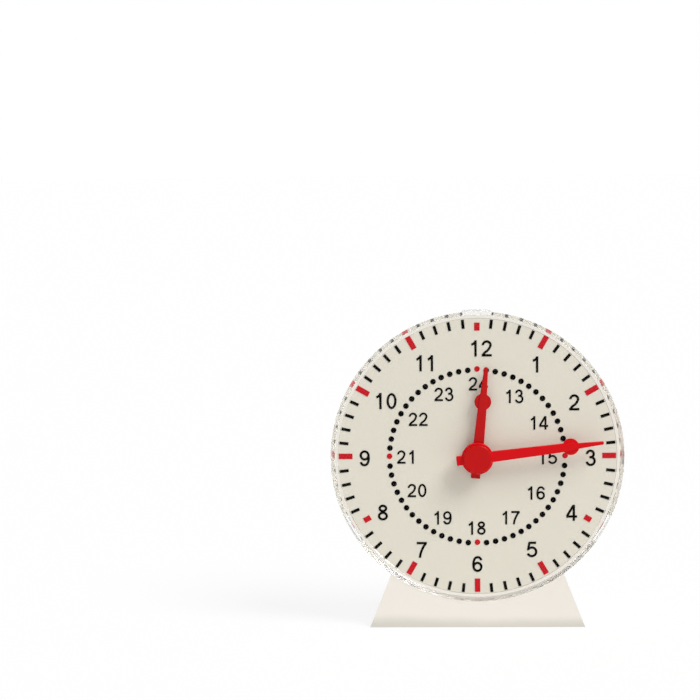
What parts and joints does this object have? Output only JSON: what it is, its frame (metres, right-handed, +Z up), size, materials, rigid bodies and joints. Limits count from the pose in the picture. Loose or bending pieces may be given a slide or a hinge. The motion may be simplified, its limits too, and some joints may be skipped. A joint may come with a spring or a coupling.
{
  "type": "teaching clock",
  "caption": "Round geared teaching clock with coupled hands over a numbered dial, a clear cover and a hollow wedge stand.",
  "frame": {"origin": "on the table, in the middle of the clock's width and depth", "axes": "+Z up; the dial looks along -Y; +X is to the right of someone reading the dial"},
  "size_m": [0.1, 0.0506, 0.1096],
  "materials": {
    "clear_plastic": "clear",
    "dial_plastic": "satin",
    "white_plastic": "satin",
    "red_plastic": "satin",
    "gear_plastic": "natural",
    "black_ink": "printed",
    "red_ink": "printed",
    "steel": "turned"
  },
  "bodies": {
    "case": {"clear_cover": "clear_plastic", "dial_plate": "dial_plastic", "minute_ticks": "black_ink", "hour_bars": "red_ink", "minute_dots": "black_ink", "quarter_dots": "red_ink", "hour_numerals": "black_ink", "late_numerals": "black_ink", "rear_shell": "white_plastic", "stand": "white_plastic", "stand_screws": "steel", "idler_post": "steel", "idler_ring": "steel", "friction_washer": "steel"},
    "minute_train": {"minute_hand": "red_plastic", "hub_cap": "red_plastic", "minute_arbor": "steel", "minute_pinion": "gear_plastic", "thrust_washer": "steel"},
    "hour_train": {"hour_hand": "red_plastic", "hour_wheel": "gear_plastic"},
    "idler": {"idler_gear": "gear_plastic"}
  },
  "joints": [
    {"name": "minute_hand_turn", "type": "hinge", "parent": "case", "child": "minute_train", "pos_m": [0, -0.01875, 0.0596], "axis": [0, 1, 0], "continuous": true},
    {"name": "hour_hand_turn", "type": "hinge", "parent": "case", "child": "hour_train", "pos_m": [0, -0.01875, 0.0596], "axis": [0, 1, 0], "continuous": true},
    {"name": "idler_turn", "type": "hinge", "parent": "case", "child": "idler", "pos_m": [0, -0.01875, 0.0806], "axis": [0, 1, 0], "continuous": true}
  ],
  "couplings": [
    {"joint": "hour_hand_turn", "follows": "minute_hand_turn", "ratio": 0.083333},
    {"joint": "idler_turn", "follows": "minute_hand_turn", "ratio": -0.33333}
  ]
}
